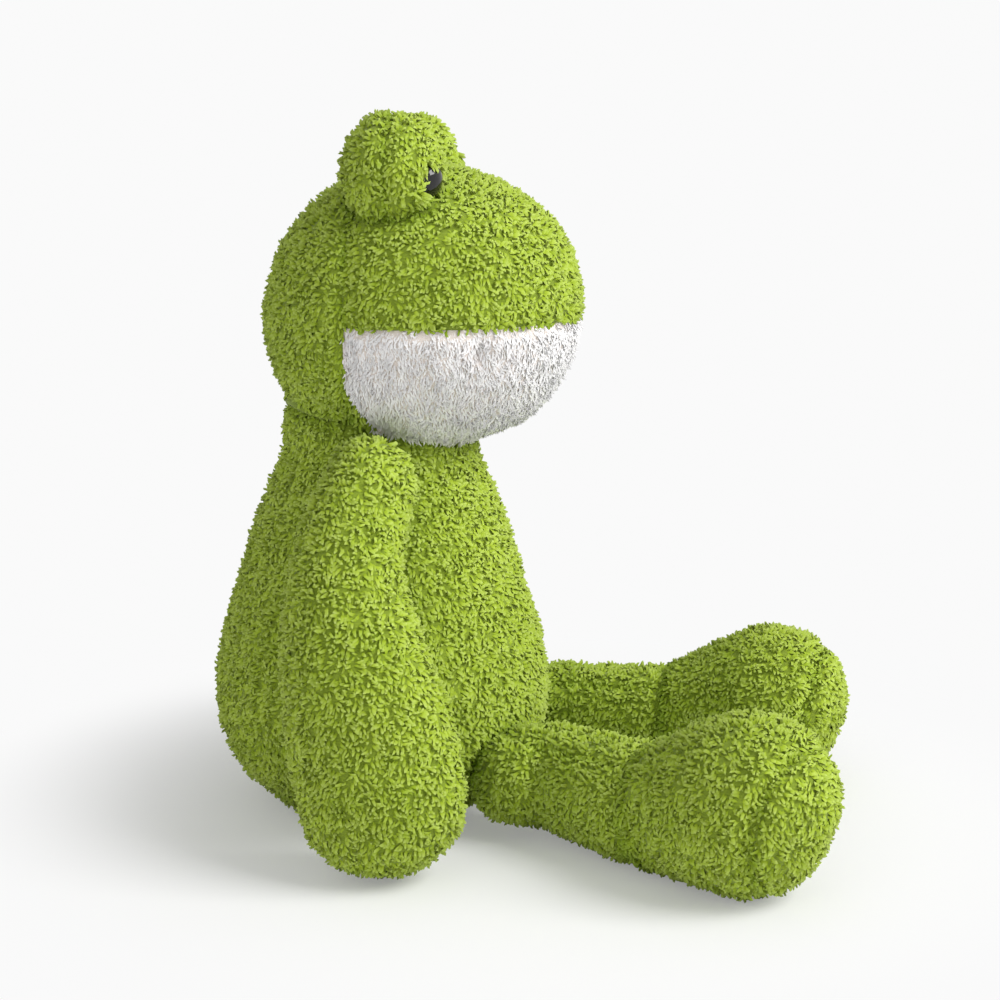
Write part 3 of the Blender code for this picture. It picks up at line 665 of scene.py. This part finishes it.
torso = {
    "radius": 64 * mm, "neckHeight": 138 * mm, "neckRadius": 38 * mm, "seatHeight": 10 * mm,
    "beanHeight": 34 * mm, "seatRadius": 0.56,
    "rings": ((0.062, 0.77), (0.138, 0.90), (0.232, 0.98), (0.326, 1.0), (0.435, 0.973),
              (0.558, 0.905), (0.688, 0.82), (0.804, 0.74), (0.90, 0.66)),
    "neckAngles": (-6, 16, 38, 62),
}


def torsoStations():
    low = Vector((0, 0, -0.5 * mm))
    width = torso["seatRadius"] * torso["radius"]
    rings = [flatRing(low, 0, 0), flatRing(low, width, width)]
    for height, share in torso["rings"]:
        width = share * torso["radius"]
        rings.append(flatRing(up * height * torso["neckHeight"], width, width))
    for angle in torso["neckAngles"]:
        turn = radians(angle)
        width = torso["neckRadius"] * cos(turn)
        rings.append(flatRing(up * (torso["neckHeight"] + torso["neckRadius"] * sin(turn)), width, width))
    rings.append(flatRing(up * (torso["neckHeight"] + torso["neckRadius"]), 0, 0))
    return rings


head = {
    "lift": 0.8 * mm, "height": 101.7 * mm, "front": 76 * mm, "back": 43.2 * mm, "halfWidth": 58 * mm,
    "seamBack": 6 * mm, "mouth": 0.447, "pole": 0.2, "cup": 37.8 * mm,
    "rings": ((0.01, 0.50, 0.0, 0.42), (0.071, 0.73, 0.55, 0.70), (0.17, 0.865, 0.81, 0.86),
              (0.30, 0.965, 0.95, 0.96), (0.447, 1.0, 1.0, 1.0), (0.56, 0.993, 0.96, 0.985),
              (0.69, 0.945, 0.85, 0.93), (0.82, 0.83, 0.65, 0.80), (0.925, 0.63, 0.34, 0.59),
              (0.985, 0.42, 0.02, 0.34)),
}
neck = hinges["neck_turn"]
headBottom = neck.z + head["lift"]
mouthHeight = headBottom + head["mouth"] * head["height"]


def headStations():
    middle = Vector((0, -head["pole"] * head["front"], headBottom))
    rings = [flatRing(middle, 0, 0)]
    for share, front, back, width in head["rings"]:
        ahead, behind = front * head["front"], back * head["back"]
        centre = Vector((0, (behind - ahead) / 2, headBottom + share * head["height"]))
        rings.append(flatRing(centre, width * head["halfWidth"], (behind + ahead) / 2))
    rings.append(flatRing(middle + up * head["height"], 0, 0))
    return rings


bump = {
    "radius": 19.2 * mm, "sideways": 1.07, "halfHeight": 22.2 * mm, "eyeSeat": 15.3 * mm, "out": 34 * mm,
    "forward": 9.1 * mm, "sink": 3 * mm, "shift": 0.7 * mm, "angles": (-60, -35, -12, 12, 35, 60),
}


def bumpCentre(side):
    return Vector((side * bump["out"], -bump["forward"], headBottom + head["height"] - bump["sink"]))


def bumpStations(centre):
    rings = [flatRing(centre - up * bump["halfHeight"], 0, 0)]
    for angle in bump["angles"]:
        turn = radians(angle)
        width = bump["radius"] * cos(turn)
        rings.append(flatRing(centre + up * bump["halfHeight"] * sin(turn), width * bump["sideways"], width))
    rings.append(flatRing(centre + up * bump["halfHeight"], 0, 0))
    return rings


def tubeRing(centre, along, across, halfWidth, halfHeight):
    side = (across - along * across.dot(along)).normalized()
    return centre, side * halfWidth, side.cross(along) * halfHeight


def limbStations(route, sizes, across, tip=0):
    # Round ends about the first and the last point, and a ring at each point between
    ways = [(after - before).normalized() for before, after in zip(route, route[1:])]
    turns = [ways[0]] + [(before + after).normalized() for before, after in zip(ways, ways[1:])] + [ways[-1]]
    startWidth, startHeight = sizes[0]
    endWidth, endHeight = sizes[-1]
    tip = tip or endHeight
    rings = [(route[0] - ways[0] * startHeight, Vector(), Vector())]
    for angle in (28, 58):
        turn = radians(angle)
        rings.append(tubeRing(route[0] - ways[0] * startHeight * cos(turn), ways[0], across,
                              startWidth * sin(turn), startHeight * sin(turn)))
    for point, way, (width, height) in zip(route, turns, sizes):
        rings.append(tubeRing(point, way, across, width, height))
    for angle in (58, 28):
        turn = radians(angle)
        rings.append(tubeRing(route[-1] + ways[-1] * tip * cos(turn), ways[-1], across,
                              endWidth * sin(turn), endHeight * sin(turn)))
    rings.append((route[-1] + ways[-1] * tip, Vector(), Vector()))
    return rings


# Rings of an arm: how far down it, out and back, and how far it has grown from shoulder to hand
arm = {
    "shoulder": 17.4 * mm, "tuck": 3 * mm, "hand": 30 * mm, "handThickness": 0.73, "flare": 31.5 * mm,
    "reach": 7.5 * mm, "tip": 26.5 * mm,
    "rings": ((0.20, 0.38, -0.70, 0.18), (0.36, 0.60, -0.74, 0.42), (0.52, 0.80, -0.37, 0.68),
              (0.68, 0.94, 0.19, 0.90), (0.84, 1.0, 0.67, 0.99)),
}


def armRoute(side, name):
    shoulder = hinges["shoulder_swing_" + name]
    drop = shoulder.z - 27.5 * mm
    route = [shoulder - Vector((side * arm["tuck"], 0, 0))]
    sizes = [(arm["shoulder"], arm["shoulder"])]
    for down, out, ahead, growth in arm["rings"] + ((1, 1, 1, 1),):
        route.append(shoulder + Vector((side * out * arm["flare"], -ahead * arm["reach"], -down * drop)))
        radius = arm["shoulder"] + growth * (arm["hand"] - arm["shoulder"])
        sizes.append((radius, radius * (1 + growth * (arm["handThickness"] - 1))))
    return route, sizes


# Rings of a leg: how far along it, how far below the hip, and its half width and half height
leg = {
    "hip": 18.8 * mm, "ankle": 22.5 * mm, "start": (0.5 * mm, 12 * mm, -4.8 * mm), "foldTilt": 38,
    "rings": ((0.0, 4.6, 18.8, 20.6), (0.35, 5.0, 19.8, 21.4), (0.70, 5.0, 21.5, 22.0)),
}


def legRoute(name):
    hip, ankle = hinges["hip_spread_" + name], hinges["ankle_flex_" + name]
    forward = Vector((ankle.x - hip.x, ankle.y - hip.y, 0)).normalized()
    out, behind, rise = leg["start"]
    route, sizes = [hip + Vector((sides[name] * out, behind, rise))], [(leg["hip"], leg["hip"])]
    for share, drop, halfWidth, halfHeight in leg["rings"]:
        flat = hip.lerp(ankle, share)
        route.append(Vector((flat.x, flat.y, hip.z - drop * mm)))
        sizes.append((halfWidth * mm, halfHeight * mm))
    route.append(ankle)
    sizes.append((leg["ankle"], leg["ankle"]))
    return route, sizes, forward


foot = {
    "radius": 32 * mm, "halfWidth": 0.97, "length": 75 * mm, "collar": 4.2 * mm, "soleSeam": 0.80,
    "soleTilt": 10, "cup": 20.8 * mm,
    "rings": ((0.06, 0.74, 0.74), (0.14, 0.78, 0.78), (0.31, 0.90, 0.90), (0.53, 1.0, 1.0),
              (0.74, 0.945, 1.01), (0.88, 0.71, 1.07), (0.965, 0.36, 1.12)),
}


def footStations(ankle, forward):
    base = Vector((ankle.x, ankle.y, -0.5 * mm))
    across = forward.cross(up)
    rings = [(ankle + forward * foot["collar"], Vector(), Vector())]
    for share, radius, rise in foot["rings"]:
        centre = base + forward * foot["length"] * share + up * rise * foot["radius"]
        size = radius * foot["radius"]
        rings.append(tubeRing(centre, forward, across, size * foot["halfWidth"], size))
    rings.append((rings[-1][0] + forward * foot["length"] * (1 - foot["rings"][-1][0]), Vector(), Vector()))
    return rings


sides = {"right": -1, "left": 1}
front, back = Vector((0, -1, 0)), Vector((0, 1, 0))
middle = Vector()
forms, trees, shapes, seamPlanes = {}, {}, {}, {}


def addForm(name, stations, seams, cups=()):
    shapes[name] = (stations, seams, cups)
    forms[name] = softForm(stations, cloth["pile"], seams, cups)
    trees[name] = BVHTree.FromBMesh(forms[name])


addForm("torso", torsoStations(), (
    {"point": middle, "normal": back},
    {"point": middle, "normal": Vector((1, 0, 0)), "within": ((middle, back),), "depth": 1.3 * mm},
    {"point": up * torso["seatHeight"], "normal": up},
))
headSeam = Vector((0, head["seamBack"], 0))
addForm("head", headStations(), (
    {"point": headSeam, "normal": back, "depth": 2.6 * mm, "reach": 2.8 * mm},
    {"point": middle, "normal": Vector((1, 0, 0)), "within": ((headSeam, back),), "depth": 1.3 * mm},
    {"point": up * mouthHeight, "normal": up, "within": ((headSeam, front),), "depth": 1.2 * mm,
     "reach": 2.0 * mm},
    # A short dart in the chin on either side
    *({"point": Vector((side * 47 * mm, -40 * mm, 0)), "normal": Vector((side * 0.455, 0.89, 0)),
       "within": ((up * 170 * mm, up), (up * mouthHeight, -up), (middle, Vector((side, 0, 0)))),
       "depth": 2.0 * mm, "reach": 1.8 * mm} for side in (-1, 1)),
), ((neck, head["cup"]),))
for name, side in sides.items():
    centre = bumpCentre(side)
    addForm("bump_" + name, bumpStations(centre - up * bump["shift"] + front * bump["shift"]),
            ({"point": centre, "normal": back, "depth": 1.2 * mm},))
    route, sizes = armRoute(side, name)
    armWay = route[-1] - route[0]
    armNormal = armWay.cross(front * side).normalized()
    addForm("arm_" + name, limbStations(route, sizes, back, arm["tip"]),
            ({"point": route[0], "normal": armNormal, "depth": 0.5 * mm},))
    route, sizes, forward = legRoute(name)
    legNormal = forward.cross(up * side).normalized()
    hip = hinges["hip_spread_" + name]
    # Beside the seam a fold runs along the upper face
    foldNormal = Matrix.Rotation(radians(leg["foldTilt"]), 3, forward) @ forward.cross(up)
    addForm("leg_" + name, limbStations(route, sizes, forward.cross(up)),
            ({"point": hip, "normal": legNormal, "depth": 1.3 * mm},
             {"point": hip - up * 5 * mm, "normal": foldNormal, "depth": 1.5 * mm, "reach": 1.7 * mm,
              "within": ((hip, up),)}))
    tilt = radians(foot["soleTilt"])
    soleNormal = forward * cos(tilt) - up * sin(tilt)
    solePoint = (Vector((route[-1].x, route[-1].y, -0.5 * mm)) + forward * foot["length"] * foot["soleSeam"]
                 + up * foot["radius"])
    addForm("foot_" + name, footStations(route[-1], forward),
            ({"point": solePoint, "normal": soleNormal, "depth": 2.4 * mm, "reach": 2.4 * mm},),
            ((route[-1], foot["cup"]),))
    seamPlanes[name] = {"arm": (armWay, armNormal), "leg": (hip, legNormal, forward),
                        "foot": (solePoint, soleNormal)}
print("forms made:", len(forms))

green, cream = coats["green"], coats["cream"]
green["locks"] = lockTemplates({0.0: 0.75, 0.42: 1.25, 0.82: 1.0, 1.0: 0.0}, green["bend"], 3)
cream["locks"] = lockTemplates({0.0: 0.8, 0.6: 1.1, 1.0: 0.0}, cream["bend"], 4)
right, left = Vector((-1, 0, 0)), Vector((1, 0, 0))
seat = up * torso["seatHeight"]
around = [trees[name] for name in ("head", "arm_right", "arm_left", "leg_right", "leg_left")]
sewPanel("torso_front", "torso", halfOf(forms["torso"], (middle, front), (seat, up)), green, "torso", around)
sewPanel("torso_back_right", "torso", halfOf(forms["torso"], (middle, back), (middle, right), (seat, up)),
         green, "torso", around)
sewPanel("torso_back_left", "torso", halfOf(forms["torso"], (middle, back), (middle, left), (seat, up)),
         green, "torso", around)
sewPanel("seat_panel", "torso", halfOf(forms["torso"], (seat, -up)), green, "torso", around)
beanTop = up * torso["beanHeight"]
stuff("torso_filling", "torso", "torso", ((beanTop, up),))
stuff("bean_bag", "torso", "torso", ((beanTop, -up),), beanCloth)

mouth = up * mouthHeight
around = [trees[name] for name in ("torso", "bump_right", "bump_left", "arm_right", "arm_left")]
# The chin's rear edge slants forwards below the cheek, so that the back panels reach under it
cheek, cheekWay = Vector((0, head["seamBack"], 162 * mm)), Vector((0, -18, 12)).normalized()
headCuts = ((headSeam, back), (mouth, up), (cheek, cheekWay), (middle, left))


def isChin(spot):
    return spot.y < headSeam.y and spot.z < mouthHeight and (spot - cheek).dot(cheekWay) > 0


def isMuzzle(spot):
    return spot.y < headSeam.y and spot.z > mouthHeight


def isHeadBack(spot):
    return not isChin(spot) and not isMuzzle(spot)


for name, side in sides.items():
    sewPanel("head_back_" + name, "head",
             regionOf(forms["head"], headCuts, lambda spot: isHeadBack(spot) and spot.x * side > 0),
             green, "head", around)
sewPanel("muzzle_top", "head", regionOf(forms["head"], headCuts, isMuzzle), green, "head", around)
sewPanel("chin", "head", regionOf(forms["head"], headCuts, isChin), cream, "head", around)
stuff("head_filling", "head", "head")

eye = {"radius": 6 * mm, "dome": 4.2 * mm, "flange": 1.0 * mm, "stem": 2 * mm, "stemLength": 11 * mm,
       "out": 27, "down": 13, "bare": 6.2 * mm}


def spinEye(name, seatPoint, facing):
    # Half of the bead's outline, spun about the line that it looks along
    bead = bmesh.new()
    radius, flange, dome, stem, end = (eye[part] for part in ("radius", "flange", "dome", "stem", "stemLength"))
    outline = [(0, -end), (stem * 0.8, -end), (stem, -end + 1 * mm), (stem, 0), (radius * 0.96, 0),
               (radius, 0.25 * mm), (radius, flange - 0.25 * mm), (radius * 0.985, flange)]
    for angle in range(8, 90, 8):
        turn = radians(angle)
        outline.append((radius * 0.985 * cos(turn), flange + dome * sin(turn)))
    outline.append((0, flange + dome))
    points = [bead.verts.new((width, 0, height)) for width, height in outline]
    edges = [bead.edges.new(pair) for pair in zip(points, points[1:])]
    bmesh.ops.spin(bead, geom=points + edges, axis=(0, 0, 1), cent=(0, 0, 0), angle=2 * pi, steps=48,
                   use_merge=True)
    bmesh.ops.remove_doubles(bead, verts=bead.verts, dist=1e-6)
    bmesh.ops.recalc_face_normals(bead, faces=bead.faces)
    place = Matrix.Translation(seatPoint) @ up.rotation_difference(facing).to_matrix().to_4x4()
    bmesh.ops.transform(bead, matrix=place, verts=bead.verts)
    piece = addPiece("eye_" + name + "_bead", bead, eyeBead, "head")
    piece.data.set_sharp_from_angle(angle=radians(40))
    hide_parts("eye_" + name)


def trimInside(skin, tree, depth):
    # Takes away what lies deep under another form's skin
    buried = []
    for face in skin.faces:
        deep = True
        for point in face.verts:
            spot, normal, found, gap = tree.find_nearest(point.co)
            deep = deep and (point.co - spot).dot(normal) < -depth
        if deep:
            buried.append(face)
    bmesh.ops.delete(skin, geom=buried, context="FACES")


for name, side in sides.items():
    centre = bumpCentre(side)
    out, down = radians(eye["out"]), radians(eye["down"])
    facing = Vector((side * sin(out) * cos(down), -cos(out) * cos(down), -sin(down)))
    bare = ((centre, facing, eye["bare"]),)
    for panel, way in (("front", front), ("back", back)):
        skin = halfOf(forms["bump_" + name], (centre, way))
        trimInside(skin, trees["head"], 1.0 * mm)
        sewPanel("eye_bump_" + name + "_" + panel, "bump_" + name, skin, green, "head", [trees["head"]], bare)
    stuff("eye_bump_" + name + "_filling", "bump_" + name, "head")
    spinEye(name, centre + facing * bump["eyeSeat"], facing)

    planes = seamPlanes[name]
    shoulder = hinges["shoulder_swing_" + name]
    inwards = planes["arm"][1]
    around = [trees["torso"], trees["head"], trees["leg_" + name]]
    sewPanel("arm_" + name + "_inner", "arm_" + name, halfOf(forms["arm_" + name], (shoulder, inwards)),
             green, "arm_" + name, around, whole=True)
    sewPanel("arm_" + name + "_outer", "arm_" + name, halfOf(forms["arm_" + name], (shoulder, -inwards)),
             green, "arm_" + name, around, whole=True)
    stuff("arm_" + name + "_filling", "arm_" + name, "arm_" + name)

    hip, inwards, forward = planes["leg"]
    bend = ("hip_stitch_" + name, "leg_" + name, hip, forward)
    around = [trees["torso"], trees["foot_" + name], trees["arm_" + name]]
    sewPanel("leg_" + name + "_inner", "leg_" + name, halfOf(forms["leg_" + name], (hip, inwards)),
             green, bend, around, whole=True)
    sewPanel("leg_" + name + "_outer", "leg_" + name, halfOf(forms["leg_" + name], (hip, -inwards)),
             green, bend, around, whole=True)
    stuff("leg_" + name + "_filling", "leg_" + name, bend)

    solePoint, ahead = planes["foot"]
    around = [trees["leg_" + name]]
    sewPanel("foot_" + name + "_upper", "foot_" + name, halfOf(forms["foot_" + name], (solePoint, -ahead)),
             green, "foot_" + name, around)
    sewPanel("foot_" + name + "_sole", "foot_" + name, halfOf(forms["foot_" + name], (solePoint, ahead)),
             green, "foot_" + name, around)
    stuff("foot_" + name + "_filling", "foot_" + name, "foot_" + name)

for node, piece in frame["nodes"].items():
    if "_knot" in node or "washer" in node:
        piece.data.materials.clear()
        piece.data.materials.append(thread if "_knot" in node else washerPlastic)
print("toy dressed")

# The floor turns into the backdrop over the blend's distances from the toy
studio = {
    "floor": (0.90, 0.90, 0.90, 1), "backdrop": 0.955, "ambient": 0.49, "lift": 0.27, "blend": (0.11, 0.23),
    "lamps": {"key": ((-1.0, -2.8, 2.6), 2.2, 140), "fill": ((-1.9, 0.7, 1.3), 1.4, 5)},
}


def seenRays(start):
    # 1 for camera, glossy and transmission rays
    paths = [start.node("ShaderNodeLightPath", {}, {}, output) for output in (0, 3, 6)]
    return paths[0].largest(paths[1]).largest(paths[2])


def makeStudio():
    floorMaterial, start, surface = newMaterial("paleFloor", Roughness=1.0, Specular_IOR_Level=0.0,
                                                Base_Color=studio["floor"])
    spot = start.node("ShaderNodeTexCoord", {}, {}, 3)
    spot = start.node("ShaderNodeVectorMath", {"operation": "ADD"}, {0: spot, 1: (0, 0.05, 0)})
    reach = start.node("ShaderNodeVectorMath", {"operation": "LENGTH"}, {0: spot}, 1)
    nearEnd, farEnd = studio["blend"]
    far = start.node("ShaderNodeMapRange", {"interpolation_type": "SMOOTHSTEP"},
                     {"Value": reach, "From Min": nearEnd, "From Max": farEnd, "To Min": studio["lift"]})
    seen = seenRays(start)
    glow = start.node("ShaderNodeEmission", {}, {"Color": (1, 1, 1, 1), "Strength": studio["backdrop"]})
    plain = Wire(start.tree, surface.outputs[0])
    shown = start.node("ShaderNodeMixShader", {}, {0: far * seen, 1: plain, 2: glow})
    start.tree.links.new(shown.socket, start.tree.nodes["Material Output"].inputs["Surface"])
    ground = bmesh.new()
    bmesh.ops.create_circle(ground, cap_ends=True, segments=64, radius=30)
    mesh = bpy.data.meshes.new("floor")
    ground.to_mesh(mesh)
    mesh.materials.append(floorMaterial)
    floor = bpy.data.objects.new("floor", mesh)
    scene.collection.objects.link(floor)

    world = bpy.data.worlds.new("studio")
    scene.world = world
    world.use_nodes = True
    start = Wire(world.node_tree)
    seen = seenRays(start)
    strength = studio["ambient"] + (studio["backdrop"] - studio["ambient"]) * seen
    background = world.node_tree.nodes["Background"]
    background.inputs["Color"].default_value = (1, 1, 1, 1)
    world.node_tree.links.new(strength.socket, background.inputs["Strength"])
    for name, (place, size, power) in studio["lamps"].items():
        lamp = bpy.data.lights.new(name, "AREA")
        lamp.size = size
        lamp.energy = power
        holder = bpy.data.objects.new(name, lamp)
        scene.collection.objects.link(holder)
        holder.location = place
        holder.rotation_euler = (Vector(place) - Vector((0, -0.04, 0.10))).to_track_quat("Z", "Y").to_euler()


makeStudio()
scene.view_settings.view_transform = "Standard"
print("studio ready")
